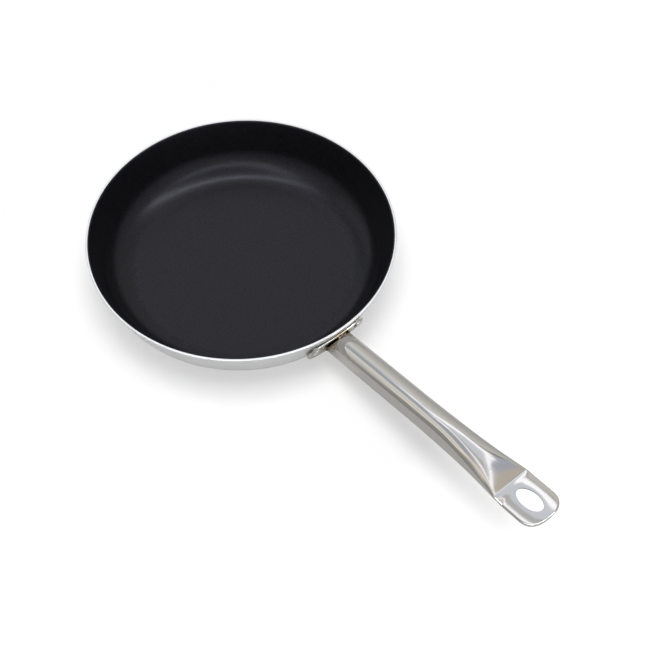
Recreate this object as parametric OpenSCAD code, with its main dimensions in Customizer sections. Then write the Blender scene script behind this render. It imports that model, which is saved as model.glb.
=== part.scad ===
// Omelette pan: a pressed aluminium bowl with a non-stick lining, and a stainless
// tube handle welded to a plate that two rivets hold on the wall.
// Origin: centre of the underside of the base. +Z is up and the handle points along +X.

/* [Bowl] */
// Outside diameter at the rim
rim_d = 260; // [220:1:320]
// Thickness of the pressed sheet, the same in base and wall
sheet_t = 2.6; // [1.5:0.1:4]
// Inside depth, from the rim to the cooking floor
bowl_depth = 45; // [40:1:60]
// Slope of the wall above level, in degrees
wall_angle = 70; // [64:1:76]
// Inside radius between the floor and the wall
corner_r = 30; // [12:1:32]
// Edge taken off the outer corner of the rim
rim_edge = 0.5; // [0.1:0.1:1]
// Thickness of the non-stick lining
coat_t = 0.2; // [0.1:0.05:0.4]

/* [Mounting plate] */
// Length of the plate around the wall
plate_l = 57; // [54:1:80]
// Thickness of the plate
plate_t = 1.5; // [1:0.1:3]
// Plate left showing above and below the foot of the tube
plate_border = 0.6; // [0.6:0.1:4]
// Radius to which the plate is bent, flatter than the wall, so that its ends stand off
plate_bend_r = 245; // [180:5:400]
// Air between the middle of the plate and the wall
plate_seat = 0.1; // [0.05:0.05:0.3]

/* [Rivets] */
// Distance from a rivet to the near end of the plate
rivet_edge = 7; // [6:0.5:8]
// Height of the rivets above the middle of the plate
rivet_up = 5; // [0:0.5:6]
// Diameter of the shank
shank_d = 5; // [3:0.5:6]
// Clearance of the shank in its holes, on the diameter
shank_fit = 0.1; // [0.05:0.05:0.3]
// Diameter of the domed head outside
outer_head_d = 8.5; // [7:0.5:10]
// Height of the domed head outside
outer_head_h = 2; // [1:0.1:3]
// Diameter of the low head inside the bowl
inner_head_d = 10; // [8:0.5:12]
// Height of the low head inside the bowl
inner_head_h = 1.5; // [1:0.1:2.5]

/* [Handle] */
// Outside diameter of the tube
tube_d = 23; // [18:0.5:24]
// Wall thickness of the tube
tube_wall = 1.2; // [0.8:0.1:1.6]
// Angle at which the handle rises, in degrees
handle_rise = 9.5; // [0:0.5:14]
// Depth of the joint below the rim
handle_drop = 22.5; // [20:0.5:26]
// Length of the round part
round_l = 98.5; // [60:0.5:140]
// Length over which the tube is pressed flat
press_l = 96; // [70:0.5:130]
// How late the tube gives way: 1 is an even wedge, more keeps it round for longer
press_power = 2.5; // [1.5:0.1:3]
// Length of the flat tab
tab_l = 38.5; // [34:0.5:50]
// Length of the tab's rounded end
tab_end_l = 14.5; // [8:0.5:18]
// Angle at which the tab dips from the line of the tube, in degrees
tab_dip = 2; // [0:0.5:8]
// Length of the hanging hole
hole_l = 23.6; // [16:0.2:26]
// Width of the hanging hole
hole_w = 13.4; // [8:0.2:18]
// Distance from the fold to the middle of the hanging hole
hole_at = 18.8; // [15:0.2:20]

/* [Weld] */
// Gap under the lowest part of the tube's foot
weld_root = 0.2; // [0.1:0.05:0.4]
// Gap under the top of the tube's foot, which the weld bridges
weld_gap = 3; // [0.5:0.1:4]
// Width of the weld on the plate, beyond the tube
weld_w = 0.5; // [0.3:0.1:0.6]
// Height of the weld on the side of the tube
weld_h = 1.4; // [0.8:0.1:3]

/* [Hidden] */
round_fn = 144;
hole_fn = 48;
cut_over = 5;

// Bowl: a depth in the sheet is 0 on the outer face and sheet_t on the inner face
pan_h = bowl_depth + sheet_t;
lining_depth = sheet_t + coat_t;
outer_corner_r = corner_r + sheet_t;
wall_lean = 90 - wall_angle;
function wall_run(h) = h*tan(wall_lean);
corner_c = [rim_d/2 - wall_run(pan_h - outer_corner_r*(1 - cos(wall_angle)))
            - outer_corner_r*sin(wall_angle), outer_corner_r];
function corner_end(depth) =
    corner_c + (outer_corner_r - depth)*[sin(wall_angle), -cos(wall_angle)];
function wall_r(depth, z) = corner_end(depth)[0] + wall_run(z - corner_end(depth)[1]);

// Joint: where the handle's line meets the wall, and the slope of the tube's foot
joint_z = pan_h - handle_drop;
joint_r = wall_r(0, joint_z);
plate_front = plate_seat + plate_t;
mitre = wall_lean + handle_rise;
tube_r = tube_d/2;
foot_h = tube_d/cos(mitre);
plate_h = foot_h + 2*plate_border;

// Rivets: turn of each axis around the bend, and where that axis leaves the lining
rivet_y = plate_l/2 - rivet_edge;
rivet_turn = asin(rivet_y/(plate_bend_r + plate_front));
rivet_sag = plate_bend_r*(1 - cos(rivet_turn));
rivet_r = norm([joint_r - rivet_sag*cos(wall_lean) + rivet_up*sin(wall_lean),
                plate_bend_r*sin(rivet_turn)]);
rivet_z = joint_z + rivet_sag*sin(wall_lean) + rivet_up*cos(wall_lean);
rivet_inside = (wall_r(0, rivet_z) - rivet_r)*sin(wall_angle) - lining_depth;
head_skirt = 0.6;

// Handle: stations along its axis, measured from the plate
fold_at = round_l + press_l;
tab_end = fold_at + tab_l;
tab_w = PI/2*(tube_r - tube_wall) + tube_wall;
side_steps = 24;
side_turn = 180/side_steps;
press_steps = 18;
end_steps = 9;
end_turn = 84;
// Half height of the seam that is left inside where the walls meet
seam = tube_wall/8;

// Half height of the tube at a station: its radius while round, one wall once flat
function half_h(x) =
    let (t = min(1, max(0, (x - round_l)/press_l)))
    tube_r - (tube_r - tube_wall)*pow(t, press_power);
// Half width of the level top: the outline keeps the length that the round tube had
function half_flat(x) = PI/2*(tube_r - half_h(x));
// Half width of the tab in its rounded end
function tab_half(x) = tab_w*sqrt(1 - pow((x - tab_end + tab_end_l)/tab_end_l, 2));

// Outline of two half circles of radius r, with level runs of half width f between them
function outline(f, r) = [
    for (s = [0:1], i = [0:side_steps])
        let (a = 180*s - 90 + side_turn*i)
        [(s == 0 ? f : -f) + r*cos(a), r*sin(a)]
];
// Place of an outline's point p at a station, past the fold on the line of the tab
function place(x, p) =
    let (over = max(0, x - fold_at), dip = over > 0 ? tab_dip : 0)
    [min(x, fold_at) + over*cos(dip) + p[1]*sin(dip), p[0], p[1]*cos(dip) - over*sin(dip)];
function ring(x, f, r) = [for (p = outline(f, r)) place(x, p)];

// Face of the bent plate at a point of the foot, and the foot itself above it
function bend_back(y) =
    plate_bend_r + plate_front - sqrt(pow(plate_bend_r + plate_front, 2) - y*y);
function plate_x(y, z) = z*tan(mitre) - bend_back(y)/cos(mitre);
function foot_x(z) = z*tan(mitre) + weld_root + (weld_gap - weld_root)*(z/tube_r + 1)/2;
function foot_ring(r) = [for (p = outline(0, r)) [foot_x(p[1]), p[0], p[1]]];

round_from = foot_x(tube_r) + tube_wall;
bore_r = tube_r - tube_wall;
seam_at = round_l + press_l*pow((bore_r - seam)/bore_r, 1/press_power);
press_x = [for (i = [1:press_steps]) round_l + press_l*i/press_steps];
end_x = [for (i = [0:end_steps]) tab_end - tab_end_l + tab_end_l*sin(end_turn*i/end_steps)];
tube_outside = concat(
    [foot_ring(tube_r), ring(round_from, 0, tube_r), ring(round_l, 0, tube_r)],
    [for (x = press_x) ring(x, half_flat(x), half_h(x))],
    [for (x = end_x) ring(x, tab_half(x) - tube_wall, tube_wall)]);
tube_inside = concat(
    [foot_ring(bore_r), ring(round_from, 0, bore_r), ring(round_l, 0, bore_r)],
    [for (x = press_x) if (x < seam_at - tube_wall) ring(x, half_flat(x), half_h(x) - tube_wall)],
    [ring(seam_at, half_flat(seam_at), seam)]);

// Weld: its runs are counted in side turns about the tube, from its right side upwards
top_run = [9, 14];
low_run = [22, 50];
bulge = [0.75, 0.6];
function weld_ring(a) = [
    for (p = [[bore_r, 0, 0], [bore_r, 1, 0], [tube_r, 1, 0], [tube_r, 1, 1],
              [tube_r + bulge[0]*weld_w, bulge[1], bulge[1]], [tube_r + weld_w, 0, 0]])
        let (y = p[0]*cos(a), z = p[0]*sin(a), low = plate_x(y, z))
        [low + p[1]*(foot_x(z) - low) + p[2]*weld_h, y, z]
];

// Sides that join closed rings of n points, each to the next, as triangles
function sides(n, rings, from = 0, inward = false) = [
    for (j = [0:rings - 2], i = [0:n - 1], half = [0:1])
        let (a = from + j*n + i, b = from + j*n + (i + 1)%n,
             t = half == 0 ? [b, a, a + n] : [b, a + n, b + n])
        inward ? [t[2], t[1], t[0]] : t
];
function first_cap(n, from = 0) = [for (i = [0:n - 1]) from + i];
function last_cap(n, from) = [for (i = [n - 1:-1:0]) from + i];
function points_of(rings) = [for (r = rings, p = r) p];

module bowl_region(depth, top) {
    e = corner_end(depth);
    r = outer_corner_r - depth;
    polygon([[0, depth], [corner_c[0], depth], e, [wall_r(depth, top), top], [0, top]]);
    intersection() {
        translate(corner_c) circle(r = r, $fn = round_fn);
        translate([corner_c[0], depth]) square([r, e[1] - depth]);
    }
}

// Space inside the bowl, down to a depth in the sheet
module bowl_space(depth) {
    rotate_extrude($fn = round_fn) bowl_region(depth, pan_h + cut_over);
}

// Places children with X out of the wall and Z up its slope, at the joint
module on_wall() {
    translate([joint_r, 0, joint_z]) rotate([0, wall_lean, 0]) children();
}

// Places children with X along the handle, from the face of the plate
module on_handle() {
    on_wall() translate([plate_front, 0, 0]) rotate([0, -mitre, 0]) children();
}

// Places children with Z along a rivet, outwards and square to the bent plate
module on_rivet(side) {
    on_wall() translate([-plate_bend_r, 0, rivet_up]) rotate([0, 0, side*rivet_turn])
        translate([plate_bend_r, 0, 0]) rotate([0, 90, 0]) children();
}

module rivet_holes() {
    for (side = [-1, 1])
        on_rivet(side) cylinder(d = shank_d + shank_fit, h = rim_d/4, center = true, $fn = hole_fn);
}

module pan_body() {
    color("silver") difference() {
        rotate_extrude($fn = round_fn) difference() {
            bowl_region(0, pan_h);
            bowl_region(sheet_t, pan_h + cut_over);
            translate([rim_d/2 - rim_edge, pan_h]) rotate(-45) square(cut_over);
        }
        rivet_holes();
    }
}

module nonstick_coating() {
    color("dimgray") difference() {
        rotate_extrude($fn = round_fn) difference() {
            bowl_region(sheet_t, pan_h);
            bowl_region(lining_depth, pan_h + cut_over);
        }
        rivet_holes();
    }
}

module plate_outline() {
    end_r = plate_h/2;
    square([plate_h, plate_l - plate_h], center = true);
    for (side = [-1, 1]) translate([0, side*(plate_l/2 - end_r)]) circle(r = end_r, $fn = hole_fn);
}

module mounting_plate() {
    color("lightgray") difference() {
        on_wall() intersection() {
            translate([-plate_bend_r, 0, 0]) difference() {
                cylinder(r = plate_bend_r + plate_front, h = 2*plate_h, center = true, $fn = round_fn);
                cylinder(r = plate_bend_r + plate_seat, h = 3*plate_h, center = true, $fn = round_fn);
            }
            rotate([0, 90, 0]) linear_extrude(height = plate_l, center = true) plate_outline();
        }
        rivet_holes();
    }
}

// Cap of a ball, with its flat side at zero
module dome(d, h) {
    ball_r = (d*d/4 + h*h)/(2*h);
    intersection() {
        translate([0, 0, h - ball_r]) sphere(r = ball_r, $fn = round_fn);
        cylinder(d = d + cut_over, h = h + cut_over, $fn = hole_fn);
    }
}

// Head outside on the plate, shank through plate and wall, low head inside on the lining
module rivet(side) {
    color("gainsboro") {
        on_rivet(side) translate([0, 0, plate_front]) dome(outer_head_d, outer_head_h);
        on_rivet(side) translate([0, 0, rivet_inside - head_skirt])
            cylinder(d = shank_d, h = plate_front - rivet_inside + head_skirt, $fn = hole_fn);
        intersection() {
            bowl_space(lining_depth);
            on_rivet(side) translate([0, 0, rivet_inside - head_skirt]) {
                cylinder(d = inner_head_d, h = 2*head_skirt, $fn = hole_fn);
                rotate([180, 0, 0]) dome(inner_head_d, inner_head_h - head_skirt);
            }
        }
    }
}

module rivet_left() {
    rivet(1);
}

module rivet_right() {
    rivet(-1);
}

module hanging_hole() {
    translate([fold_at, 0, 0]) rotate([0, tab_dip, 0]) translate([hole_at, 0, 0])
        linear_extrude(height = 4*tube_wall, center = true)
            polygon([for (i = [0:hole_fn - 1])
                [hole_l/2*cos(360*i/hole_fn), hole_w/2*sin(360*i/hole_fn)]]);
}

module handle_tube() {
    n = 2*(side_steps + 1);
    inside_from = n*len(tube_outside);
    foot_rim = [
        for (i = [0:n - 1], half = [0:1])
            let (j = (i + 1)%n)
            half == 0 ? [i, j, inside_from + j] : [i, inside_from + j, inside_from + i]
    ];
    color("gainsboro") on_handle() difference() {
        polyhedron(
            points = points_of(concat(tube_outside, tube_inside)),
            faces = concat(
                sides(n, len(tube_outside)),
                sides(n, len(tube_inside), inside_from, true),
                foot_rim,
                [last_cap(n, inside_from - n)],
                [first_cap(n, inside_from + n*(len(tube_inside) - 1))]),
            convexity = 6);
        hanging_hole();
    }
}

module weld_run(run) {
    rings = [for (i = [run[0]:run[1]]) weld_ring(side_turn*i)];
    n = len(rings[0]);
    polyhedron(
        points = points_of(rings),
        faces = concat(sides(n, len(rings)), [first_cap(n)], [last_cap(n, n*(len(rings) - 1))]),
        convexity = 4);
}

module weld_bead() {
    color("dimgray") on_handle() {
        weld_run(top_run);
        weld_run(low_run);
    }
}

pan_body();
nonstick_coating();
mounting_plate();
rivet_left();
rivet_right();
handle_tube();
weld_bead();
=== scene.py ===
# %% [markdown]
# An omelette pan in Blender, piece by piece
#
# The real pan is a pressed aluminium bowl with a dark non-stick lining. A bent steel plate
# is riveted to its wall, and a polished steel tube is welded to the plate as the handle.
# Every solid was already built at its real size. Here each one gets a smoother mesh in the
# same place, and the finish that the real material has.
#
# The first cell loads those solids. All places below are in millimetres in the pan's own
# frame: the origin is under the middle of the base, Z is up and the handle points along X.

# %% Load the solids
import math
import bmesh
import bpy
import numpy as np
from mathutils import Matrix, Vector


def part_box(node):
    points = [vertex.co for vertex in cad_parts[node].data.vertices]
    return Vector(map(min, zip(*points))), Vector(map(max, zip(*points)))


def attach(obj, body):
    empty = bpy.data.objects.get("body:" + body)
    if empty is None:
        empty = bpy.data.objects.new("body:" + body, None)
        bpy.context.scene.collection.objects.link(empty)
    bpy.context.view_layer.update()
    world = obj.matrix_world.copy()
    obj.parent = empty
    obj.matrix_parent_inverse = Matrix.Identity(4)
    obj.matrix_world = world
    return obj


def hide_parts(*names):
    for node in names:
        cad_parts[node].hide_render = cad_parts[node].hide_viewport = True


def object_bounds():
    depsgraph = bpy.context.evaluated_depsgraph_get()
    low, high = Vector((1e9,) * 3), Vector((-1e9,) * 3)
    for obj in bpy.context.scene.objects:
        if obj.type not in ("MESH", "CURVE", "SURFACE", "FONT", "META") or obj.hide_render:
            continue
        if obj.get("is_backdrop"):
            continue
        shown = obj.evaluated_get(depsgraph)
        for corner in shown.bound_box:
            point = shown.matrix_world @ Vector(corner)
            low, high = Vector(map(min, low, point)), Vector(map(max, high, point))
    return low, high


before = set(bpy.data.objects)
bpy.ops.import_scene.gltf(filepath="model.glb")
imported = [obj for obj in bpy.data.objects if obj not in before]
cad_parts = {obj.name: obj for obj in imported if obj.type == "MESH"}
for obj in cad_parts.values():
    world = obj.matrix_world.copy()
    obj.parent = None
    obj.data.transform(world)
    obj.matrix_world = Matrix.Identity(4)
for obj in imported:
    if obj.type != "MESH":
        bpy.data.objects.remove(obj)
cad_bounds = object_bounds()
MM = 0.001
print("solids:", ", ".join(sorted(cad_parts)))

# %% [markdown]
# The sizes that the pieces share come first. The pan's height and the thickness of its
# sheet are read from the boxes of two solids. The others are the real sizes that a maker
# would write on a drawing: radii, the thickness of the lining, the slope of the wall.

# %% Sizes of the bowl
bowl_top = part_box("pan_body")[1].z
lining_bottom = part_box("nonstick_coating")[0].z
PAN_H = bowl_top/MM
SHEET_T = round(lining_bottom/MM, 2)
COAT_T = 0.2
CORNER_R = 30.0
WALL_ANGLE = math.radians(70)
WALL_LEAN = math.pi/2 - WALL_ANGLE
RIM_R = 130.0
RIM_ROUND = 0.5
INNER_ROUND = 1.3
OUTER_CORNER_R = CORNER_R + SHEET_T
WALL_FOOT_Z = OUTER_CORNER_R*(1 - math.cos(WALL_ANGLE))
CORNER_X = (
    RIM_R - (PAN_H - WALL_FOOT_Z)*math.tan(WALL_LEAN) - OUTER_CORNER_R*math.sin(WALL_ANGLE)
)


def wall_radius(depth, height):
    """Radius of the straight wall at a height, at a depth in the sheet from its outer face."""
    reach = OUTER_CORNER_R - depth
    end_r = CORNER_X + reach*math.sin(WALL_ANGLE)
    end_z = OUTER_CORNER_R - reach*math.cos(WALL_ANGLE)
    return end_r + (height - end_z)*math.tan(WALL_LEAN)


print(f"rim radius {RIM_R} mm, height {PAN_H:.1f} mm, flat floor radius {CORNER_X:.1f} mm")

# %% [markdown]
# The handle's sizes follow. Its line starts on the face of the mounting plate and rises
# 9.5 degrees. For the first 98 mm the tube is round, then it is pressed flatter and flatter
# up to a sharp fold, where the flat hanging tab begins. Its end is cut to lie along the
# plate, with a narrow gap that is wider at the top, and the weld fills that gap.

# %% Sizes of the plate, the rivets and the handle
HANDLE_DROP = 22.5
HANDLE_RISE = math.radians(9.5)
JOINT_Z = PAN_H - HANDLE_DROP
JOINT_R = wall_radius(0, JOINT_Z)
PLATE_L = 57.0
PLATE_H = 27.6
PLATE_T = 1.5
PLATE_SEAT = 0.1
PLATE_BEND_R = 245.0
PLATE_FRONT = PLATE_SEAT + PLATE_T
RIVET_INSET = 7.0
RIVET_Y = PLATE_L/2 - RIVET_INSET
RIVET_UP = 5.0
TUBE_R = 11.5
TUBE_WALL = 1.2
ROUND_L = 98.5
PRESS_L = 96.0
FOLD_X = ROUND_L + PRESS_L
TAB_L = 38.5
TAB_END_L = 14.5
TAB_DIP = math.radians(2)
TAB_W = math.pi/2*(TUBE_R - TUBE_WALL) + TUBE_WALL
HOLE_L, HOLE_W, HOLE_AT = 23.6, 13.4, 18.8
MITRE = WALL_LEAN + HANDLE_RISE
FOLD_ROUND = 0.3
WELD_ROOT, WELD_GAP = 0.2, 2.2


def turn_y(angle):
    """Matrix that turns rows of numpy points about Y, from Z towards X."""
    return np.array(Matrix.Rotation(angle, 3, "Y")).T


WALL_PLACE = np.array([JOINT_R, 0, JOINT_Z])


def on_wall(points):
    """Takes points with X out of the wall and Z up its slope into the pan's frame."""
    return np.asarray(points) @ turn_y(WALL_LEAN) + WALL_PLACE


def on_handle(points):
    """Takes points with X along the handle, from the plate's face, into the pan's frame."""
    lifted = np.asarray(points) @ turn_y(-MITRE)
    return on_wall(lifted + np.array([PLATE_FRONT, 0, 0]))


print("handle starts at", on_handle([0, 0, 0]).round(2))
print("and folds at", on_handle([FOLD_X, 0, 0]).round(2))

# %% [markdown]
# Most pieces of cookware are either turned or lofted, so two helpers make nearly all the
# meshes. One joins rings of points, each to the next, and the other spins a profile round
# the Z axis, which is a loft too. Points that meet are merged afterwards, so a ring may
# shrink to a point or to a line and the surface still closes.

# %% Helpers that make meshes
MERGE_WITHIN, THIN_EDGE = 1e-7, 1e-8


def put_in_scene(name, data):
    """A new object with that mesh, lamp or camera, linked into the scene."""
    thing = bpy.data.objects.new(name, data)
    bpy.context.scene.collection.objects.link(thing)
    return thing


def ring_faces(count, size, first=0, closed=True):
    """Quads between each ring and the next, for rings of that many points."""
    last = size if closed else size - 1
    return [
        (first + j*size + i, first + j*size + (i + 1) % size,
         first + (j + 1)*size + (i + 1) % size, first + (j + 1)*size + i)
        for j in range(count - 1) for i in range(last)
    ]


def make_piece(name, points, faces, node, slot, sharp_at=40):
    """A closed, smooth piece of the object that stands for a solid and rides on its body."""
    mesh = bpy.data.meshes.new(name)
    mesh.from_pydata([tuple(p) for p in np.asarray(points)*MM], [], faces)
    work = bmesh.new()
    work.from_mesh(mesh)
    bmesh.ops.remove_doubles(work, verts=work.verts, dist=MERGE_WITHIN)
    bmesh.ops.dissolve_degenerate(work, edges=work.edges, dist=THIN_EDGE)
    bmesh.ops.recalc_face_normals(work, faces=work.faces)
    open_edges = sum(1 for edge in work.edges if len(edge.link_faces) != 2)
    work.to_mesh(mesh)
    work.free()
    mesh.shade_smooth()
    mesh.set_sharp_from_angle(angle=math.radians(sharp_at))
    piece = put_in_scene(name, mesh)
    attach(piece, "root")
    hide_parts(node)
    print(f"{name}: {len(mesh.polygons)} faces, {open_edges} open edges")
    return piece


def loft(rings):
    """Points and quads of a list of rings that all have the same number of points."""
    rings = [np.asarray(ring, float) for ring in rings]
    return np.concatenate(rings), ring_faces(len(rings), len(rings[0]))


def spin(profile, steps):
    """Points and quads of a profile of (radius, height) points turned once round the Z axis."""
    turns = np.linspace(0, 2*math.pi, steps, endpoint=False)
    return loft([
        np.stack([r*np.cos(turns), r*np.sin(turns), np.full(steps, z)], 1) for r, z in profile
    ])


def arc(centre, radius, start, stop, steps):
    """Points of an arc in the plane of a profile. Angles are in degrees, from level outwards."""
    return [
        (centre[0] + radius*math.cos(a), centre[1] + radius*math.sin(a))
        for a in np.radians(np.linspace(start, stop, steps + 1))
    ]


# %% [markdown]
# The bowl is one sheet, pressed in a die, so its wall and base have the same thickness and
# meet in a wide round corner. Turning a profile is the natural way to make it. The Screw
# modifier could do that, and the helper does the same with a profile of exact points. The
# rim is cut level and then rounded, a little outside and more inside, where the lining
# rolls over it. What stays bare is the bright line round the top, so it is modelled, not
# painted.

# %% The bowl
TURN_STEPS = 288
OUTER_STEPS, INNER_STEPS, EDGE_STEPS = 28, 20, 8
WALL_FROM, WALL_STEPS = 25, 6
lean = math.degrees(WALL_LEAN)


def rolled_edge(radius, depth, top):
    """Arc over the inner edge of the rim, from the level top down into the inner face."""
    reach = radius*math.tan((math.pi/2 - WALL_LEAN)/2)
    centre = (wall_radius(depth, top) + reach, top - radius)
    return arc(centre, radius, 90, 180 - lean, EDGE_STEPS)


outer_top = PAN_H - RIM_ROUND
rim_centre = (wall_radius(0, outer_top) - RIM_ROUND/math.cos(WALL_LEAN), outer_top)
corner_centre = (CORNER_X, OUTER_CORNER_R)
bowl_profile = (
    [(0, 0)]
    + arc(corner_centre, OUTER_CORNER_R, -90, -lean, OUTER_STEPS)
    + [(wall_radius(0, z), z) for z in np.linspace(WALL_FROM, outer_top - 1, WALL_STEPS)]
    + arc(rim_centre, RIM_ROUND, -lean, 90, EDGE_STEPS)
    + rolled_edge(INNER_ROUND, SHEET_T, PAN_H)
    + arc(corner_centre, CORNER_R, -lean, -90, INNER_STEPS)
    + [(0, SHEET_T)]
)
bowl = make_piece("bowl", *spin(bowl_profile, TURN_STEPS), "pan_body", "satin_aluminium")

# %% [markdown]
# The lining is sprayed on before the rim is trimmed, so it ends flush with the cut edge.
# It is a second turned skin that lies on the inner face of the sheet and on its round edge.
# A Solidify modifier could thicken a copy of that face. Turning both faces of the film as
# one closed profile also gives it a clean end at the rim.

# %% The lining
WALL_ROWS = (25, 32, 39)
skin_depth = SHEET_T + COAT_T
skin_r = OUTER_CORNER_R - skin_depth
under_edge = rolled_edge(INNER_ROUND, SHEET_T, PAN_H)
over_edge = rolled_edge(INNER_ROUND + COAT_T, skin_depth, PAN_H)
lining_profile = (
    [(0, SHEET_T)]
    + arc(corner_centre, CORNER_R, -90, -lean, OUTER_STEPS)
    + [(wall_radius(SHEET_T, z), z) for z in WALL_ROWS] + under_edge[:0:-1]
    + over_edge
    + [(wall_radius(skin_depth, z), z) for z in WALL_ROWS[::-1]]
    + arc(corner_centre, skin_r, -lean, -90, OUTER_STEPS)
    + [(0, skin_depth)]
)
lining = make_piece(
    "lining", *spin(lining_profile, TURN_STEPS), "nonstick_coating", "nonstick_ptfe")

# %% [markdown]
# The mounting plate is stamped from steel sheet with round ends and then bent, but less
# than the wall is, so its ends stand a little off the pan. Its outline is a row of loops
# drawn inwards from the edge. The first loops round the edge over, the way that tumbling
# a stamping does, and the last one shrinks to a line.

# %% The mounting plate
PLATE_EDGE = 0.35
END_STEPS, STRAIGHT_STEPS, EDGE_LOOPS = 33, 12, 5


def plate_loop(inset, height):
    """The plate's outline drawn in by inset, at a height in its thickness, bent and placed."""
    end_r = PLATE_H/2 - inset
    straight = PLATE_L/2 - PLATE_H/2
    turns = np.radians(np.linspace(-90, 90, END_STEPS))
    end_along, end_up = straight + end_r*np.cos(turns), end_r*np.sin(turns)
    steps = np.linspace(straight, -straight, STRAIGHT_STEPS + 2)[1:-1]
    side_up = np.full(STRAIGHT_STEPS, end_r)
    along = np.concatenate([end_along, steps, -end_along, -steps])
    up = np.concatenate([end_up, side_up, -end_up, -side_up])
    out = np.sqrt((PLATE_BEND_R + PLATE_SEAT + height)**2 - along**2) - PLATE_BEND_R
    return on_wall(np.stack([out, along, up], 1))


edge_turns = np.radians(np.linspace(0, 90, EDGE_LOOPS))
back_edge = [
    (PLATE_EDGE*(1 - math.sin(a)), PLATE_EDGE*(1 - math.cos(a))) for a in edge_turns[::-1]
]
front_edge = [(inset, PLATE_T - height) for inset, height in back_edge[::-1]]
insets = [PLATE_H/2*share for share in (1, 0.8, 0.6, 0.4, 0.2)]
plate_steps = (
    [(inset, 0) for inset in insets] + back_edge + front_edge
    + [(inset, PLATE_T) for inset in insets[::-1]]
)
plate = make_piece(
    "mounting_bracket", *loft([plate_loop(*step) for step in plate_steps]),
    "mounting_plate", "bracket_steel",
)

# %% [markdown]
# Each rivet is turned about its own axis, which stands square to the bent plate. The dome
# outside was formed by a round set, so it has a soft edge and a faint flat on top. Inside
# the bowl the head is wide and low, to be easy to wipe, and sinks a little into the lining.

# %% The rivets
SHANK_R = 2.5
DOME_R, DOME_H, DOME_LIP = 4.25, 2.0, 0.35
LOW_R, LOW_H, LOW_LIP = 5.0, 1.5, 0.5
LOW_SINK = 0.1
FULLNESS = 0.85
FOOT_BEVEL = 0.1
RIVET_STEPS, HEAD_STEPS = 48, 13
RIVET_TURN = math.asin(RIVET_Y/(PLATE_BEND_R + PLATE_FRONT))
rivet_place = np.array([
    PLATE_BEND_R*(math.cos(RIVET_TURN) - 1), PLATE_BEND_R*math.sin(RIVET_TURN), RIVET_UP,
])
rivet_point = on_wall(rivet_place)
stands_off = wall_radius(0, rivet_point[2]) - math.hypot(rivet_point[0], rivet_point[1])
inner_seat = stands_off*math.sin(WALL_ANGLE) - skin_depth + LOW_SINK


def head_profile(radius, height, lip):
    """From the tip of a head out to its edge: a flattened dome on a short straight lip."""
    turns = np.linspace(0, math.pi/2, HEAD_STEPS)
    dome = [(radius*math.sin(a), lip + (height - lip)*math.cos(a)**FULLNESS) for a in turns]
    return dome + [(radius, FOOT_BEVEL/2), (radius - FOOT_BEVEL, 0)]


def rivet(name, side, node):
    """Head, shank and inner head of one rivet, turned as one piece along its axis."""
    outer = [(r, PLATE_FRONT + z) for r, z in head_profile(DOME_R, DOME_H, DOME_LIP)]
    inner = [(r, inner_seat - z) for r, z in head_profile(LOW_R, LOW_H, LOW_LIP)]
    profile = outer + [(SHANK_R, PLATE_FRONT), (SHANK_R, inner_seat)] + inner[::-1]
    points, faces = spin(profile, RIVET_STEPS)
    points = points[:, [2, 1, 0]]*[1, side, 1]
    turn = np.array(Matrix.Rotation(side*RIVET_TURN, 3, "Z")).T
    points = points @ turn + rivet_place*[1, side, 1]
    return make_piece(name, on_wall(points), faces, node, "rivet_aluminium")


rivets = [rivet("left_rivet", 1, "rivet_left"), rivet("right_rivet", -1, "rivet_right")]

# %% [markdown]
# The handle is the piece that the eye stays on. A steel tube keeps the length of its
# outline when it is pressed flat, so every section is as wide as its height lets it be. The
# press bites slowly at first and then faster, until the walls meet at the fold. So width
# and height both follow from one number: how far the tube is pressed at that place. A cage
# of a few loops, pushed by eye and subdivided, would lose that, so the sections are worked
# out.

# %% Width and height along the handle
PRESS_POWER = 2.5


def pressed(x):
    """How far the tube is pressed at a distance from the plate: 0 where round, 1 in the tab."""
    return np.clip((x - ROUND_L)/PRESS_L, 0, 1)


def flat_width(x):
    """Half the width of the flat, which takes up the outline that the sides have lost."""
    return math.pi/2*(TUBE_R - TUBE_WALL)*pressed(x)**PRESS_POWER


def half_width(x):
    """Half the width of the handle: its flat and one half round side."""
    return flat_width(x) + TUBE_R - (TUBE_R - TUBE_WALL)*pressed(x)**PRESS_POWER


def soft_ramp(value, width):
    """Zero below zero and the value above it, with the corner rounded over that width."""
    return 0.5*(value + np.sqrt(value**2 + width**2))


def half_height(x):
    """Half the thickness of the handle, with the fold in its top rounded a little."""
    past = np.clip((x - ROUND_L)/PRESS_L - 1, 0, None)
    fall = (TUBE_R - TUBE_WALL)*(pressed(x)**PRESS_POWER + PRESS_POWER*past)
    return TUBE_WALL + soft_ramp(TUBE_R - fall - TUBE_WALL, FOLD_ROUND)


for spot in (0, ROUND_L + PRESS_L/2, FOLD_X + TAB_L/2):
    print(f"{spot:.0f} mm out: {2*half_width(spot):.1f} x {2*half_height(spot):.1f} mm")

# %% [markdown]
# Between the flat dies the sides stay nearly half round while the top becomes a flat that
# grows towards the fold. A press never leaves sharp edges, so each section is halfway
# between that outline and a superellipse, and the flat springs back to a slight crown.

# %% Sections of the handle
SIDE_STEPS = 96
SPRING_BACK = 0.5
PRESS_BLUNT, FOLD_BLUNT, FOLD_POWER = 1.4, 8.6, 12
DIP_EASE = 0.6
cosines = np.cos(np.linspace(0, math.pi, SIDE_STEPS + 1))


def side_round(inset, radius):
    """Share of the full height at a distance from the side, for a half round side."""
    return np.sqrt(np.clip(1 - np.clip(1 - inset/radius, 0, 1)**2, 0, 1))


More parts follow.
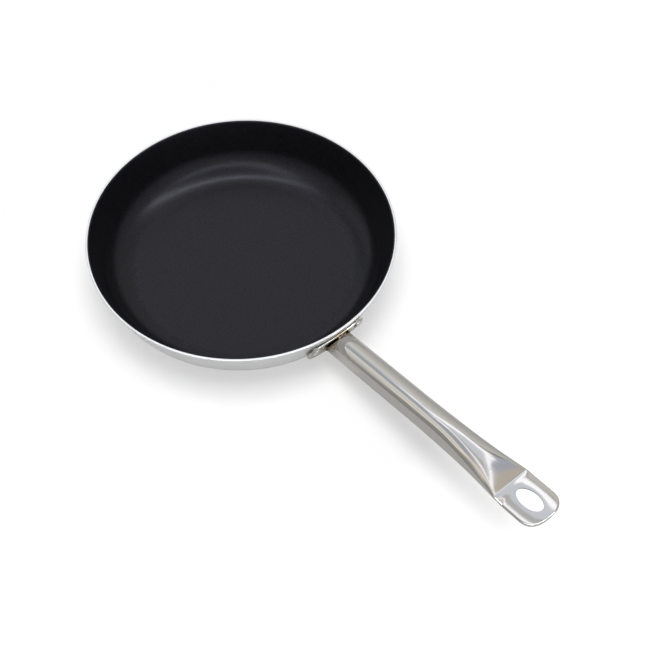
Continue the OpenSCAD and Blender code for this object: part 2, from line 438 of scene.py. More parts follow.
def bar_height(x, inset):
    """Half the thickness at x and at a distance from the handle's side."""
    width, flat, push = half_width(x), flat_width(x), pressed(x)
    share = np.clip(1 - inset/width, 0, 1)
    power = 2 + PRESS_BLUNT*push + FOLD_BLUNT*push**FOLD_POWER
    oval = np.clip(1 - share**power, 0, 1)**(1/power)
    halfway = 16*(push*(1 - push))**2
    crown = SPRING_BACK*halfway*(1 - share**2)**2
    return half_height(x)*(oval + side_round(inset, width - flat))/2 + crown


def centre_drop(x):
    """How far the tab's middle plane has dipped below the line of the tube."""
    return -math.tan(TAB_DIP)*soft_ramp(x - FOLD_X, DIP_EASE)


def section(x):
    """Closed ring of the handle at x: over the top from side to side, and back below."""
    y = half_width(x)*cosines
    z = bar_height(x, half_width(x)*(1 - np.abs(cosines)))
    z[0] = z[-1] = 0
    top = np.stack([np.full_like(y, x), y, centre_drop(x) + z], 1)
    low = np.stack([np.full_like(y, x), y, centre_drop(x) - z], 1)[1:-1]
    return np.concatenate([top, low[::-1]])


print(len(section(0)), "points in each section")

# %% [markdown]
# The near end of the tube is cut at a slant, so that it lies along the plate. The gap that
# is left between the two is wider at the top than at the bottom, and takes the weld.

# %% The cut end of the tube
def foot_x(z):
    """Where the cut end lies at a height: along the plate, with the gap for the weld."""
    return z*math.tan(MITRE) + WELD_ROOT + (WELD_GAP - WELD_ROOT)*(z/TUBE_R + 1)/2


def foot_ring(radius):
    """The cut end of the tube at a radius."""
    ring = section(0)*[1, radius/TUBE_R, radius/TUBE_R]
    ring[:, 0] = foot_x(ring[:, 2])
    return ring


print(f"cut at {math.degrees(MITRE):.1f} degrees, gap {WELD_ROOT} to {WELD_GAP} mm")

# %% [markdown]
# The tab has a hole in it, and a mesh can't be lofted through a hole. So the edge of the
# tab is a strip of loops that follow its outline, closer together towards the edge, where
# it turns over. The outline has straight sides and a blunt round end.

# %% Outline of the tab
TAB_BLUNT = 2.5
STRIP, SIDE_LOOPS, END_LOOPS = 22, 22, 120
TAB_FROM, END_SPARE = 2.5, 0.05
TAB_START = FOLD_X + TAB_FROM
END_X = FOLD_X + TAB_L - END_SPARE
END_CENTRE_X = END_X - TAB_END_L


def tab_outline(steps):
    """Outline of the tab from its near corner on the left, round the end, to the right."""
    side = np.linspace(TAB_START, END_CENTRE_X, SIDE_LOOPS)[:-1]
    turns = np.linspace(0, math.pi, steps)
    bend = 2/TAB_BLUNT
    x = END_CENTRE_X + TAB_END_L*np.abs(np.sin(turns))**bend
    y = TAB_W*np.sign(np.cos(turns))*np.abs(np.cos(turns))**bend
    return np.concatenate([
        np.stack([side, np.full_like(side, TAB_W)], 1),
        np.stack([x, y], 1),
        np.stack([side[::-1], np.full_like(side, -TAB_W)], 1),
    ])


def inwards(outline):
    """Unit vectors that point into the tab all along its outline."""
    along = np.gradient(outline, axis=0)
    normal = np.stack([along[:, 1], -along[:, 0]], 1)
    normal[0], normal[-1] = (0, -1), (0, 1)
    return normal/np.linalg.norm(normal, axis=1, keepdims=True)


outline = tab_outline(END_LOOPS)
strip_insets = TAB_W*(1 - cosines[:STRIP + 1])
strip = [outline + inset*inwards(outline) for inset in strip_insets]
print(f"tab {2*TAB_W:.1f} mm wide, its edge strip {strip_insets[-1]:.1f} mm")

# %% [markdown]
# The hole is an oval that a punch went through from above. What lies between it and the
# strip is filled by loops that shrink from the strip to the oval, closer together at the
# hole. Where the punch broke out below, the oval is a little larger.

# %% Loops round the hanging hole
FILL_LOOPS, FILL_EASE = 26, 1.8
BREAK_OUT = 0.8
hole_centre = np.array([FOLD_X + HOLE_AT, 0.0])
near_line = section(TAB_START)[STRIP:SIDE_STEPS - STRIP + 1, :2][::-1]
outer_loop = np.concatenate([strip[-1], near_line[1:-1]])
aim = (outer_loop - hole_centre)/[HOLE_L/2, HOLE_W/2]
aim /= np.linalg.norm(aim, axis=1, keepdims=True)
hole_loop = hole_centre + aim*[HOLE_L/2, HOLE_W/2]
low_hole_loop = hole_loop + aim*BREAK_OUT
shares = 1 - (1 - np.linspace(0, 1, FILL_LOOPS))**FILL_EASE
fill = [outer_loop + share*(hole_loop - outer_loop) for share in shares]
low_fill = [outer_loop + share*(low_hole_loop - outer_loop) for share in shares]
print(f"hole {HOLE_L} x {HOLE_W} mm, {len(outer_loop)} points round it")

# %% [markdown]
# All loops of the tab share one height rule, so no seam shows between them. The metal dips
# towards the hole, because the punch drew it down. The whole tab is also bent down a little
# at its sides and twisted by two degrees, and its left side bends sooner after the fold.
# Light rolls over that bend: it is why one tab shows white, grey and dark bands.

# %% Height of the tab
THINNEST = 0.02
DISH_DEPTH, DISH_REACH, DISH_START = 0.12, 2.6, 4.0
ARCH_DROP, ARCH_START, START_SKEW = 0.82, 6.0, 3.5
TAB_TWIST = math.radians(-2.0)
fine_outline = tab_outline(10*END_LOOPS)


def distance_to(outline, spots):
    """Shortest distance from each spot to the line through the outline's points."""
    start, run = outline[:-1], np.diff(outline, axis=0)
    rel = spots[:, None] - start[None]
    share = np.clip((rel*run).sum(2)/(run**2).sum(1), 0, 1)
    return np.linalg.norm(rel - share[..., None]*run, axis=2).min(1)


def smooth(share):
    """An S-curve from 0 to 1, level at both ends."""
    share = np.clip(share, 0, 1)
    return share**2*(3 - 2*share)


def dish(spots):
    """How far the punch drew the tab down at each spot: most at the hole, none at the fold."""
    rel = (spots - hole_centre)/[HOLE_L/2, HOLE_W/2]
    beside = (np.linalg.norm(rel, axis=1) - 1)*(HOLE_L + HOLE_W)/4
    depth = DISH_DEPTH*np.exp(-np.clip(beside, 0, None)/DISH_REACH)
    return depth*smooth((spots[:, 0] - TAB_START)/DISH_START)


def arch(points):
    """Points of the handle with the tab bent down at its sides and twisted, past the fold."""
    share = points[:, 1]/TAB_W
    drop = ARCH_DROP*share**2 + math.tan(TAB_TWIST)*points[:, 1]
    drop *= smooth((points[:, 0] - FOLD_X)/(ARCH_START - START_SKEW*share))
    return points - np.outer(drop, [0, 0, 1])


def lift(spots, side):
    """Spots in the plane of the tab raised to its upper face (side 1) or lower face (-1)."""
    height = bar_height(spots[:, 0], distance_to(fine_outline, spots))
    height = np.where(height < THINNEST, 0, height)
    return np.column_stack([spots, centre_drop(spots[:, 0]) - dish(spots) + side*height])


print(f"sides {ARCH_DROP} mm down, the hole's edge {DISH_DEPTH} mm")

# %% [markdown]
# Now the handle is put together: the bore of the open end, the round and pressed tube, and
# the two faces of the tab with the wall of the hole between them. Below its sheared upper
# part the wall breaks out wider, as the wall of a punched hole does.

# %% The handle
BORE_ROWS = (90, 60, 30, 15)
FOLD_ROWS = (-2.2, -1.5, -1, -0.6, -0.3, 0, 0.3, 0.6, 1, 1.6, TAB_FROM)
ROUND_FROM, ROUND_STEPS, PRESS_STEPS = 12, 20, 90
CUT_BEVEL = 0.15
SHEARED = 0.7
bore_r = TUBE_R - TUBE_WALL
bore_rings = [section(x)*[1, bore_r/TUBE_R, bore_r/TUBE_R] for x in BORE_ROWS]
closed_end = bore_rings[0]*[1, 0, 0]
outer_x = np.concatenate([
    np.linspace(ROUND_FROM, ROUND_L, ROUND_STEPS),
    ROUND_L + PRESS_L*np.linspace(0, 1, PRESS_STEPS)[1:-3],
    FOLD_X + np.array(FOLD_ROWS),
])
tube_rings = (
    [closed_end] + bore_rings + [foot_ring(bore_r), foot_ring(TUBE_R - CUT_BEVEL)]
    + [foot_ring(TUBE_R) + [CUT_BEVEL, 0, 0]] + [section(x) for x in outer_x]
)
handle_points, handle_faces = loft(tube_rings)
parts = [handle_points]
count = len(handle_points)
for side, face_fill in ((1, fill), (-1, low_fill)):
    strip_rings = [lift(ring, side) for ring in strip]
    strip_rings[0][:, 2] = centre_drop(strip_rings[0][:, 0])
    parts.append(np.concatenate(strip_rings))
    handle_faces += ring_faces(len(strip_rings), len(outline), count, closed=False)
    count += len(parts[-1])
    fill_rings = [lift(ring, side) for ring in face_fill]
    parts.append(np.concatenate(fill_rings))
    handle_faces += ring_faces(len(fill_rings), len(outer_loop), count)
    count += len(parts[-1])
hole_top = lift(hole_loop, 1)
hole_rings = [hole_top, hole_top - [0, 0, SHEARED], lift(low_hole_loop, -1)]
parts.append(np.concatenate(hole_rings))
handle_faces += ring_faces(len(hole_rings), len(hole_loop), count)
handle = make_piece(
    "handle", on_handle(arch(np.concatenate(parts))), handle_faces,
    "handle_tube", "handle_steel", sharp_at=50)

# %% [markdown]
# The weld was run by hand between the plate and the tube's cut end, and left as it was. It
# is a lumpy bead along two runs, round the bottom and over the top, and its surface is
# uneven because the pool froze ripple by ripple. Sculpting could make it too, but two sine
# waves along the run keep the ripples at a real size. Each point of its section is given by
# its distance out from the tube's skin, its share of the way from the plate to the tube's
# cut end, and how much of the climb along the tube it makes.

# %% The weld
LOW_RUN = (165, 375)
TOP_RUN = (67.5, 105)
RIPPLE, RIPPLE_H = 2.2, 0.12
WOBBLES, WOBBLE_H = 23, 0.1
SWELL = 0.1
DEEPEST, WIDEST, CLIMB = -1.1, 0.5, 1.2
BEAD_SECTION = (
    (DEEPEST, 0, 0), (DEEPEST, 1, 0), (-0.05, 1, 0), (-0.05, 1, 1), (0.3, 0.9, 0.75),
    (0.45, 0.5, 0.35), (WIDEST, 0, 0),
)
RING_DEGREES = 1.5
TAPER, THIN_END = 0.25, 0.15


def plate_x(y, z):
    """Where the bent plate's face lies, measured along the handle."""
    bend = PLATE_BEND_R + PLATE_FRONT
    return z*math.tan(MITRE) - (bend - math.sqrt(bend**2 - y*y))/math.cos(MITRE)


def weld_ring(angle, fullness):
    """Section of the bead at an angle about the tube, from the plate over to its side."""
    ripple = (RIPPLE_H*math.sin(angle*TUBE_R/RIPPLE*2*math.pi)
              + WOBBLE_H*math.sin(angle*WOBBLES + 1))
    ring = []
    for out, share, climb in BEAD_SECTION:
        grow = (out - DEEPEST)/(WIDEST - DEEPEST)
        radius = TUBE_R + out + (ripple + SWELL*fullness)*grow
        y, z = radius*math.cos(angle), radius*math.sin(angle)
        low = plate_x(y, z)
        along = climb*(CLIMB + 2*ripple)*fullness
        ring.append((low + share*(foot_x(z) - low) + along, y, z))
    return np.array(ring)


def bead(run):
    """One run of the weld, thinner where it starts and stops."""
    turns = np.radians(np.linspace(*run, int((run[1] - run[0])/RING_DEGREES)))
    from_end = np.minimum(turns - turns[0], turns[-1] - turns)
    fullness = np.minimum(1, from_end/TAPER + THIN_END)
    rings = [weld_ring(a, full) for a, full in zip(turns, fullness)]
    rings = [rings[0]*0 + rings[0].mean(0)] + rings + [rings[-1]*0 + rings[-1].mean(0)]
    return loft(rings)


low_points, low_faces = bead(LOW_RUN)
top_points, top_faces = bead(TOP_RUN)
top_faces = [tuple(i + len(low_points) for i in face) for face in top_faces]
weld = make_piece(
    "weld", on_handle(np.concatenate([low_points, top_points])), low_faces + top_faces,
    "weld_bead", "weld_steel", sharp_at=60)

# %% [markdown]
# Colours are written as the sRGB hex values that a colour picker shows. Blender's shaders
# want linear light, so one function turns them. A second small function adds a shader node
# with its settings and links, which keeps each material short enough to read.

# %% Helpers for materials
def linear(code, alpha=1.0):
    """Linear colour of an sRGB hex code such as C8C9CB, with alpha as its fourth value."""
    channels = [int(code[i:i + 2], 16)/255 for i in (0, 2, 4)]
    return tuple(
        c/12.92 if c <= 0.04045 else ((c + 0.055)/1.055)**2.4 for c in channels) + (alpha,)


def add(tree, kind, links=None, values=None, **settings):
    """Adds a node of a kind, links outputs to its inputs, sets its values and its settings."""
    node = tree.nodes.new(kind)
    for name, value in settings.items():
        setattr(node, name, value)
    for key, value in (values or {}).items():
        node.inputs[key].default_value = value
    for key, output in (links or {}).items():
        tree.links.new(output, node.inputs[key])
    return node


def new_material(name, base, metallic, roughness):
    """A material with one shader, whose plain values are set on the shader itself."""
    material = bpy.data.materials.new(name)
    material.use_nodes = True
    tree = material.node_tree
    shader = tree.nodes["Principled BSDF"]
    shader.inputs["Base Color"].default_value = linear(base)
    shader.inputs["Metallic"].default_value = metallic
    shader.inputs["Roughness"].default_value = roughness
    return material, tree, shader


def per_metre(size_mm):
    """Scale of a noise whose grains are about this size."""
    return 1/(size_mm*MM)


def heat_tint(tree, shader, distance, near, far):
    """Colours steel from brown over straw to clean, between two distances in millimetres."""
    clean = tuple(shader.inputs["Base Color"].default_value)
    share = add(tree, "ShaderNodeMapRange", {"Value": distance},
                {"From Min": near*MM, "From Max": far*MM})
    ramp = add(tree, "ShaderNodeValToRGB", {"Fac": share.outputs["Result"]})
    ramp.color_ramp.elements[0].color = linear("7A6858")
    ramp.color_ramp.elements[1].color = clean
    for place, code in ((0.3, "A99885"), (0.6, "BFB5A6")):
        ramp.color_ramp.elements.new(place).color = linear(code)
    tree.links.new(ramp.outputs["Color"], shader.inputs["Base Color"])


# %% [markdown]
# Satin aluminium. The pressed bowl was spun against a fine abrasive, which leaves faint
# rings round it. An image of rings would have to be unwrapped round the wall, so they are
# noise: its coordinates are the distance from the axis and the height, so it doesn't change
# around the bowl. The real lines are a tenth or two of a millimetre apart, too fine to
# show, so they are drawn at half a millimetre. Broad smudges make some places a little
# duller than others. Aluminium is a little cooler and brighter than steel.

# %% Satin spun aluminium
SPUN_LINE, LINE_DEPTH = 0.5, 0.02
SMUDGE = 38.0
satin, tree, shader = new_material("satin_spun_aluminium", "EEEEEE", 1.0, 0.34)
place = add(tree, "ShaderNodeTexCoord")
split = add(tree, "ShaderNodeSeparateXYZ", {"Vector": place.outputs["Object"]})
flat = add(tree, "ShaderNodeCombineXYZ", {"X": split.outputs["X"], "Y": split.outputs["Y"]})
reach = add(tree, "ShaderNodeVectorMath", {0: flat.outputs[0]}, operation="LENGTH")
rings = add(tree, "ShaderNodeCombineXYZ", {"X": reach.outputs["Value"], "Y": split.outputs["Z"]})
lines = add(tree, "ShaderNodeTexNoise", {"Vector": rings.outputs[0]},
            {"Scale": per_metre(SPUN_LINE), "Detail": 3.0})
smudge = add(tree, "ShaderNodeTexNoise", {"Vector": place.outputs["Object"]},
             {"Scale": per_metre(SMUDGE), "Detail": 4.0})
wear = add(tree, "ShaderNodeMapRange", {"Value": smudge.outputs["Fac"]},
           {"From Min": 0.3, "From Max": 0.7, "To Min": 0.285, "To Max": 0.36})
tree.links.new(wear.outputs["Result"], shader.inputs["Roughness"])
bump = add(tree, "ShaderNodeBump", {"Height": lines.outputs["Fac"]},
           {"Strength": 0.25, "Distance": LINE_DEPTH*MM})
tree.links.new(bump.outputs["Normal"], shader.inputs["Normal"])
bowl.data.materials.append(satin)
print(satin.name, "on", bowl.name)

# %% [markdown]
# Non-stick lining. It is sprayed on and baked, so it has a fine speckle and a grain like
# very small orange peel. The plastic in it is close to black, and the grey that the eye
# sees on the floor is the broad sheen of a surface that is neither matt nor glossy. One
# noise mixes two dark colours, and another drives the bump. Real flecks are finer than half
# a millimetre. They are drawn at 0.9 mm, so that one is about a pixel wide.

# %% Sprayed and baked non-stick lining
SPECKLE = 0.9
ORANGE_PEEL, PEEL_DEPTH = 1.3, 0.06
ptfe, tree, shader = new_material("sprayed_nonstick_lining", "0B0B0D", 0.0, 0.29)
shader.inputs["Specular IOR Level"].default_value = 0.29
shader.inputs["Specular Tint"].default_value = linear("F2EEFF")
place = add(tree, "ShaderNodeTexCoord")
speckle = add(tree, "ShaderNodeTexNoise", {"Vector": place.outputs["Object"]},
              {"Scale": per_metre(SPECKLE), "Detail": 2.0})
fleck = add(tree, "ShaderNodeMapRange", {"Value": speckle.outputs["Fac"]},
            {"From Min": 0.38, "From Max": 0.62})
tone = add(tree, "ShaderNodeMix", {"Factor": fleck.outputs["Result"]}, data_type="RGBA")
tone.inputs["A"].default_value = linear("020202")
tone.inputs["B"].default_value = linear("1A1A1E")
tree.links.new(tone.outputs["Result"], shader.inputs["Base Color"])
peel = add(tree, "ShaderNodeTexNoise", {"Vector": place.outputs["Object"]},
           {"Scale": per_metre(ORANGE_PEEL), "Detail": 2.0})
bump = add(tree, "ShaderNodeBump", {"Height": peel.outputs["Fac"]},
           {"Strength": 0.8, "Distance": PEEL_DEPTH*MM})
tree.links.new(bump.outputs["Normal"], shader.inputs["Normal"])
lining.data.materials.append(ptfe)
print(ptfe.name, "on", lining.name)

# %% [markdown]
# Polished stainless tube. It is bright enough to mirror the room, slightly warm, and drawn
# along its length, which leaves faint streaks. They are noise that is turned to the
# handle's slope and stretched fifty times along it. Real streaks are about a tenth of a
# millimetre wide, too fine to show, so they are drawn at 0.8 mm. Near the weld the heat has
# coloured the steel straw and brown, so a ramp of colours follows the distance from the
# plate over the first few millimetres.

# %% Polished stainless steel
STEEL = "CCC9C4"
STREAK, STREAK_DEPTH, STRETCH = 0.8, 0.01, 50
BROWN_TO, HEAT_REACH = 1.5, 6.0
HANDLE_AXIS = Vector(on_handle([1, 0, 0]) - on_handle([0, 0, 0]))
steel, tree, shader = new_material("polished_stainless_tube", STEEL, 1.0, 0.08)
place = add(tree, "ShaderNodeTexCoord")
turned = add(tree, "ShaderNodeVectorRotate", {"Vector": place.outputs["Object"]},
             {"Angle": HANDLE_RISE}, rotation_type="Y_AXIS")
drawn = add(tree, "ShaderNodeMapping", {"Vector": turned.outputs["Vector"]},
            {"Scale": (1/STRETCH, 1, 1)})
streaks = add(tree, "ShaderNodeTexNoise", {"Vector": drawn.outputs["Vector"]},
              {"Scale": per_metre(STREAK), "Detail": 3.0})
rough = add(tree, "ShaderNodeMapRange", {"Value": streaks.outputs["Fac"]},
            {"From Min": 0.3, "From Max": 0.7, "To Min": 0.06, "To Max": 0.1})
tree.links.new(rough.outputs["Result"], shader.inputs["Roughness"])
bump = add(tree, "ShaderNodeBump", {"Height": streaks.outputs["Fac"]},
           {"Strength": 0.1, "Distance": STREAK_DEPTH*MM})
tree.links.new(bump.outputs["Normal"], shader.inputs["Normal"])
from_plate = add(tree, "ShaderNodeVectorMath", {0: place.outputs["Object"]},
                 {1: on_handle([0, 0, 0])*MM}, operation="SUBTRACT")
along = add(tree, "ShaderNodeVectorMath", {0: from_plate.outputs["Vector"]}, {1: HANDLE_AXIS},
            operation="DOT_PRODUCT")
heat_tint(tree, shader, along.outputs["Value"], BROWN_TO, HEAT_REACH)
handle.data.materials.append(steel)
print(steel.name, "on", handle.name)

# %% [markdown]
# Tumbled stainless sheet. Tumbling a stamping with small stones leaves it satin, without a
# direction, so the plate looks softer than the tube beside it. The heat of the weld has
# tinted it too, in a ring round the tube.

# %% Tumbled stainless sheet
bracket_steel, tree, shader = new_material("tumbled_stainless_sheet", "CFCBC4", 1.0, 0.26)
place = add(tree, "ShaderNodeTexCoord")
off_centre = add(tree, "ShaderNodeVectorMath", {0: place.outputs["Object"]},
                 {1: on_handle([0, 0, 0])*MM}, operation="DISTANCE")
heat_tint(tree, shader, off_centre.outputs["Value"], TUBE_R, TUBE_R + HEAT_REACH)
plate.data.materials.append(bracket_steel)
print(bracket_steel.name, "on", plate.name)

# %% [markdown]
# Pressed aluminium rivets. A head is smooth where the set pressed it, but it isn't
# polished, so it shows a soft highlight and no clear picture of the room.

# %% Pressed aluminium
rivet_metal, tree, shader = new_material("pressed_aluminium_rivet", "D8D6D2", 1.0, 0.28)
for piece in rivets:
    piece.data.materials.append(rivet_metal)
print(rivet_metal.name, "on", len(rivets), "rivets")

# %% [markdown]
# Weld. Its dark colour is oxide, and partly painted shade of the narrow gap that the bead
# lies in. The bright patches that a noise puts on its lumps are painted highlights. A coarse
# bump adds the small grains that froze on it.

# %% Dark weld with oxide, painted shade and painted highlights
LUMP, LUMP_DEPTH = 2.0, 0.3
# The dark colours are oxide and painted shade; the bright end of the ramp is painted highlights.
GLINT_FROM, GLINT_AT = 0.5, 0.62
weld_oxide_and_shade, tree, shader = new_material("weld_oxide_painted_shade_and_glints", "3A342F", 0.7, 0.45)
place = add(tree, "ShaderNodeTexCoord")
lumps = add(tree, "ShaderNodeTexNoise", {"Vector": place.outputs["Object"]},
            {"Scale": per_metre(LUMP), "Detail": 2.0})
# Painted highlights on the lumps, over oxide that is darkened as painted shade.
painted_glints = add(tree, "ShaderNodeValToRGB", {"Fac": lumps.outputs["Fac"]})
ends = painted_glints.color_ramp.elements
for end, spot, code in zip(ends, (GLINT_FROM, GLINT_AT), ("3A322C", "C9B8A6")):
    end.position = spot
    end.color = linear(code)
tree.links.new(painted_glints.outputs["Color"], shader.inputs["Base Color"])
bump = add(tree, "ShaderNodeBump", {"Height": lumps.outputs["Fac"]},
           {"Strength": 0.8, "Distance": LUMP_DEPTH*MM})
tree.links.new(bump.outputs["Normal"], shader.inputs["Normal"])
weld.data.materials.append(weld_oxide_and_shade)
print(weld_oxide_and_shade.name, "on", weld.name)

# %% [markdown]
# The stage is a plain pale floor of paper, far wider than the picture. From here on, the
# sizes of the studio are in metres.

# %% Floor
FLOOR_HALF = 6.0
floor_mesh = bpy.data.meshes.new("floor")
floor_corners = [
    (FLOOR_HALF*x, FLOOR_HALF*y, 0) for x, y in ((-1, -1), (1, -1), (1, 1), (-1, 1))]
floor_mesh.from_pydata(floor_corners, [], [(0, 1, 2, 3)])
floor = put_in_scene("floor", floor_mesh)
floor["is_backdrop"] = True
print(f"floor {2*FLOOR_HALF:.0f} m wide")

# %% [markdown]
# White paper. To the camera it glows a little, and more from about 0.23 to 0.33 m away from
# the middle of the pan. That turns it white around the pan and still leaves the shadow
# close to it, as on a sweep that is lit from below farther out. To reflections it glows
# only under the overhang of the bowl.

# %% White paper sweep
SEEN_NEAR, SEEN_FAR = 0.43, 0.72
SEEN_FROM, SEEN_TO = 0.23, 0.33
MIRRORED_NEAR = 0.24
MIRRORED_FROM, MIRRORED_TO = 0.13, 0.15
paper, tree, shader = new_material("white_paper_sweep", "C4C4C4", 0.0, 0.9)
path = add(tree, "ShaderNodeLightPath")
shader.inputs["Emission Color"].default_value = (1, 1, 1, 1)
mirrored = add(tree, "ShaderNodeMath",
               {0: path.outputs["Is Glossy Ray"], 1: path.outputs["Is Transmission Ray"]},
               operation="MAXIMUM")
place = add(tree, "ShaderNodeTexCoord")
reach = add(tree, "ShaderNodeVectorMath", {0: place.outputs["Object"]}, operation="LENGTH")
seen = add(tree, "ShaderNodeMapRange", {"Value": reach.outputs["Value"]},
           {"From Min": SEEN_FROM, "From Max": SEEN_TO, "To Min": SEEN_NEAR, "To Max": SEEN_FAR})
under = add(tree, "ShaderNodeMapRange", {"Value": reach.outputs["Value"]},
            {"From Min": MIRRORED_FROM, "From Max": MIRRORED_TO,
             "To Min": MIRRORED_NEAR, "To Max": 0.0})
faint = add(tree, "ShaderNodeMath", {0: mirrored.outputs["Value"], 1: under.outputs["Result"]},
            operation="MULTIPLY")
glow_links = {
    0: path.outputs["Is Camera Ray"], 1: seen.outputs["Result"], 2: faint.outputs["Value"]}
glow = add(tree, "ShaderNodeMath", glow_links, operation="MULTIPLY_ADD")
tree.links.new(glow.outputs["Value"], shader.inputs["Emission Strength"])
floor.data.materials.append(paper)
print(paper.name, "on", floor.name)

# %% [markdown]
# Polished steel has no look of its own: it shows the studio round it. So the studio is
# described by two numbers that a straight tube keeps apart. The first is the angle round
# the handle, 0 straight up from it and more towards its left side. The second is how far
# a direction leans along the handle, from -1 back to the bowl to 1 away from it. A straight
# tube spreads the angles over its width, and the pressed part also brings in the lean. The
# room itself is a list of colours by angle, from -180 to 180 degrees, as the steel shows
# them.

# %% Bands of the room
ROOM_BANDS = {
    -180: "868480", -150: "868480", -136: "908C87", -112: "9B978F", -104: "999590",
    -90: "888681", -80: "888681", -68: "94928D", -56: "AFAEA7", -46: "BCBAB4",
    -34: "C0BEB9", -27: "D6D1C8", -21: "AAABAD", -14: "94989E", -4: "94989E", 3: "ACADAD",
    9: "BAB9B7", 21: "C4C2BD", 30: "BCB9B3", 45: "B0ADA7", 60: "A7A5A0", 75: "A19F9C",
    105: "A4A4A2", 120: "B6B6B6", 135: "CECECE", 150: "E1E1E1", 180: "E1E1E1",
}
print(len(ROOM_BANDS), "bands of the room round the handle")

# %% [markdown]
# The world turns the direction of a mirrored ray into that angle and looks its colour up.
# The steel would darken and warm it once more, so it is divided by the steel's own colour.
# Matt surfaces get an even, dim light in its place, and the camera a white background.

# %% World
HANDLE_UP = Vector(on_handle([0, 0, 1]) - on_handle([0, 0, 0]))
DIFFUSE_LEVEL = 0.37
world = bpy.data.worlds.new("soft_studio")
bpy.context.scene.world = world
world.use_nodes = True
tree = world.node_tree
place = add(tree, "ShaderNodeTexCoord")
aside = add(tree, "ShaderNodeVectorMath", {0: place.outputs["Generated"]}, {1: (0, 1, 0)},
            operation="DOT_PRODUCT")
above = add(tree, "ShaderNodeVectorMath", {0: place.outputs["Generated"]}, {1: HANDLE_UP},
            operation="DOT_PRODUCT")
angle = add(tree, "ShaderNodeMath", {0: aside.outputs["Value"], 1: above.outputs["Value"]},
            operation="ARCTAN2")
share = add(tree, "ShaderNodeMapRange", {"Value": angle.outputs["Value"]},
            {"From Min": -math.pi, "From Max": math.pi})
bands = add(tree, "ShaderNodeValToRGB", {"Fac": share.outputs["Result"]})
stops = bands.color_ramp.elements
while len(stops) > 1:
    stops.remove(stops[-1])
for degrees, code in ROOM_BANDS.items():
    stop = stops[0] if degrees == -180 else stops.new(degrees/360 + 0.5)
    stop.position = degrees/360 + 0.5
    stop.color = linear(code)
room = add(tree, "ShaderNodeVectorMath", {0: bands.outputs["Color"]}, {1: linear(STEEL)[:3]},
           operation="DIVIDE")
path = add(tree, "ShaderNodeLightPath")
level = add(tree, "ShaderNodeMapRange", {"Value": path.outputs["Is Camera Ray"]},
            {"To Min": DIFFUSE_LEVEL, "To Max": 1.0})
mirrored = add(tree, "ShaderNodeMath",
               {0: path.outputs["Is Glossy Ray"], 1: path.outputs["Is Transmission Ray"]},
               operation="MAXIMUM")
shown = add(tree, "ShaderNodeMix", {"Factor": mirrored.outputs["Value"]}, data_type="RGBA")
tree.links.new(level.outputs["Result"], shown.inputs["A"])
tree.links.new(room.outputs["Vector"], shown.inputs["B"])
tree.links.new(shown.outputs["Result"], tree.nodes["Background"].inputs["Color"])
print("angles start from", [round(v, 3) for v in HANDLE_UP])

# %% [markdown]
# The strip lights and dark screens of the studio stand far away over the pan. They are
# plain sheets, each a row of corners that are given by the two numbers of the room, angle
# and lean. The two overhead strips are narrow: the sheen of the dark lining shows them as
# the double arc in the bowl.

# %% Shapes of the strip lights and screens
CARDS = [
    ("screen_warm_dark", "83817C", [
        (-95, -.53), (-60, -.50), (-52, -.475), (-49, -.45), (-50, -.43), (-54, -.42),
        (-38, -.355), (-22, -.27), (-8, -.17), (-20, -.13), (-60, -.25), (-100, -.40)]),
    ("strip_cream", "E9D8C6", [
        (-33, -.52), (-46, -.50), (-44, -.46), (-42, -.43), (-47, -.418), (-30, -.345),
        (-13, -.255), (3, -.15), (15, -.03), (13, -.03), (-2, -.15), (-18, -.265),
        (-36, -.355), (-53, -.425), (-50, -.43), (-49, -.455), (-52, -.49)]),
    ("strip_white_right", "FFFDFE", [
        (0, -.505), (18, -.452), (26, -.41), (30, -.30), (29.5, -.10), (27, -.06),
        (24.5, -.055), (23, -.03), (22.5, .0), (22.6, .03), (21.4, .03), (21, -.04),
        (22.3, -.09), (26, -.135), (26.3, -.26), (24, -.36), (17, -.41), (2, -.47)]),
    ("strip_white_left", "FFFAFD", [
        (-9, -.485), (0, -.45), (9, -.385), (12.5, -.30), (13.5, -.21), (17.5, -.13),
        (19.5, -.07), (21, -.03), (22, .02), (21, .03), (18.5, -.02), (16.5, -.075),
        (14, -.13), (9.5, -.21), (8.2, -.30), (5, -.37), (-3, -.43)]),
    ("sheet_grey", "C0C3C7", [
        (0, -.448), (9, -.385), (12.5, -.30), (13.5, -.21), (16, -.13), (18, -.07),
        (20.3, -.01), (21.6, -.03), (23.2, -.08), (26.6, -.13), (26.3, -.26), (24, -.36),
        (17, -.41), (5, -.46)]),
    ("sheet_shade", "A6A6A3", [
        (3, -.425), (9, -.385), (12.5, -.30), (13.5, -.21), (16, -.13), (18, -.07),
        (20.2, -.03), (20.5, -.12), (18.5, -.20), (18, -.28), (13, -.37)]),
    ("screen_blue_grey", "9B9DA5", [
        (23, -.03), (24.5, -.055), (27, -.06), (28.5, -.10), (33, -.10), (29, -.01),
        (26.3, .022), (25, .024), (23.6, .006)]),
    ("ceiling_beige", "ADA598", [
        (22.6, .03), (22.5, .0), (23.6, .006), (25, .024), (26.3, .022), (29, -.01),
        (33, -.08), (50, -.10), (50, .3), (15, .3), (15, .10)]),
    ("screen_edge", "74706A", [
        (28.5, -.37), (31.2, -.30), (31, -.20), (33, -.12), (35, -.07), (30.5, -.09),
        (29.8, -.2), (30, -.3)]),
    ("strip_overhead", "FFFFFF", [
        (-24.7, -.127), (-10.7, -.013), (0, .11), (9.7, .247), (22.7, .407), (38.7, .58),
        (41.3, .54), (25.3, .353), (13.3, .213), (4, .08), (-7.3, -.047), (-21.3, -.133)]),
    ("strip_overhead_front", "FFFFFF", [
        (19.4, .704), (8.7, .774), (-3, .809), (-21.8, .768), (-34, .656), (-40, .501),
        (-36.9, .334), (-29.7, .151), (-22.3, .025), (-21.7, .035), (-28.3, .169),
        (-35.1, .346), (-38, .499), (-32, .643), (-20.2, .751), (-3, .790), (7.3, .756),
        (18.6, .696)]),
]
print(len(CARDS), "sheets,", sum(len(corners) for _, _, corners in CARDS), "corners")

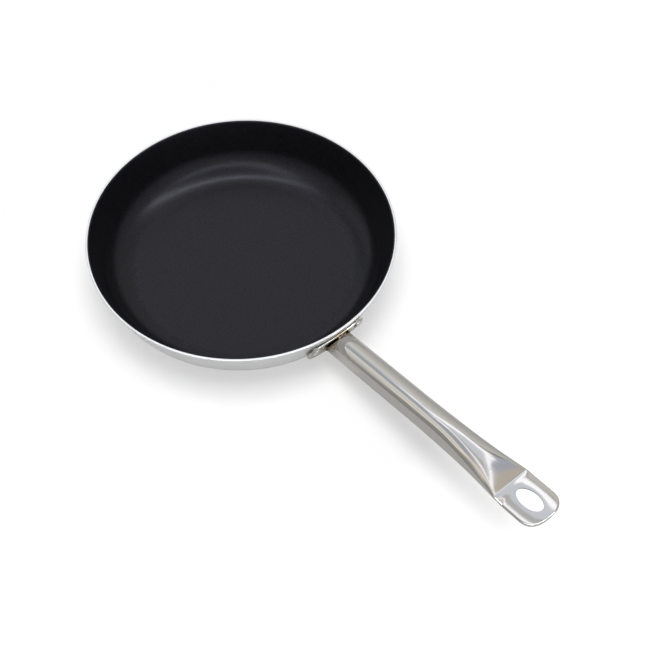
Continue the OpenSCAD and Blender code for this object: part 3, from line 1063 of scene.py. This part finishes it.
# %% [markdown]
# Each sheet hangs a little nearer than the one before it in the list, so it hides that one
# where they cross. The sheets glow, and only reflections see them, so they light nothing
# and cast no shadow. Their colours are those that the steel shows, so each is divided by
# the steel's. The overhead strips are far brighter, because the lining mirrors so little.

# %% Strip lights and screens
CARDS_AWAY, CARD_STEP = 20.0, 0.2
OVERHEAD_LEVEL = 7.8


def towards(angle, along):
    """Direction at an angle round the handle that leans along it by a share."""
    turn = math.radians(angle)
    across = Vector((0, 1, 0))*math.sin(turn) + HANDLE_UP*math.cos(turn)
    return HANDLE_AXIS*along + across*math.sqrt(1 - along**2)


for number, (name, code, corners) in enumerate(CARDS):
    away = CARDS_AWAY - CARD_STEP*number
    mesh = bpy.data.meshes.new(name)
    mesh.from_pydata([towards(*corner)*away for corner in corners], [], [range(len(corners))])
    card = put_in_scene(name, mesh)
    card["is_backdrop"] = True
    card.visible_camera = card.visible_diffuse = card.visible_shadow = False
    glowing, tree, shader = new_material(name, "000000", 0.0, 1.0)
    shader.inputs["Specular IOR Level"].default_value = 0.0
    shader.inputs["Emission Color"].default_value = tuple(
        a/b for a, b in zip(linear(code), linear(STEEL)))
    strength = OVERHEAD_LEVEL if "overhead" in name else 1.0
    shader.inputs["Emission Strength"].default_value = strength
    card.data.materials.append(glowing)
print(f"{len(CARDS)} sheets, {CARDS_AWAY:.0f} to {away:.0f} m away")

# %% [markdown]
# One wide softbox hangs high over the pan. So the shadow stays close under the pan and the
# handle, and is soft, as under a large window. The steel and the lining don't mirror it,
# because the strips above already stand for what they mirror.

# %% Key light
KEY_SIZE, KEY_POWER = 1.1, 26.5
KEY_PLACE, KEY_AIM = Vector((0.12, -0.05, 1.9)), Vector((0.05, 0, 0))
key_data = bpy.data.lights.new("key_softbox", "AREA")
key_data.size = KEY_SIZE
key_data.energy = KEY_POWER
key = put_in_scene("key_softbox", key_data)
key.location = KEY_PLACE
key.rotation_euler = (KEY_AIM - KEY_PLACE).to_track_quat("-Z", "Y").to_euler()
key.visible_glossy = False
print(f"softbox of {KEY_SIZE} m at {KEY_POWER} W, {KEY_PLACE.z:.1f} m over the floor")

# %% [markdown]
# The camera stands where the photographer stood. Its place and lens were solved from the
# ellipse of the rim and the straight line of the handle.

# %% Camera
AZIMUTH = math.radians(50)
ELEVATION = math.radians(54.73)
CAMERA_PLACE = Vector((551.3, -374.3, 853.2))*MM
LENS, SENSOR = 69.56, 36.0
camera_data = bpy.data.cameras.new("camera")
camera_data.lens = LENS
camera_data.sensor_width = SENSOR
camera_data.sensor_fit = "HORIZONTAL"
camera = put_in_scene("camera", camera_data)
camera.location = CAMERA_PLACE
camera.rotation_euler = (math.pi/2 - ELEVATION, 0, AZIMUTH)
bpy.context.scene.camera = camera
bpy.context.scene.view_settings.view_transform = "Standard"
print(f"camera {CAMERA_PLACE.length:.2f} m from the pan, lens {LENS} mm")

# %% [markdown]
# Last, the boxes of the solids and of the dressed pan are printed.

# %% Print sizes
final_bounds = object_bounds()
for word, (low, high) in (("solids", cad_bounds), ("scene", final_bounds)):
    print(word, [round(v/MM, 1) for v in low], [round(v/MM, 1) for v in high])
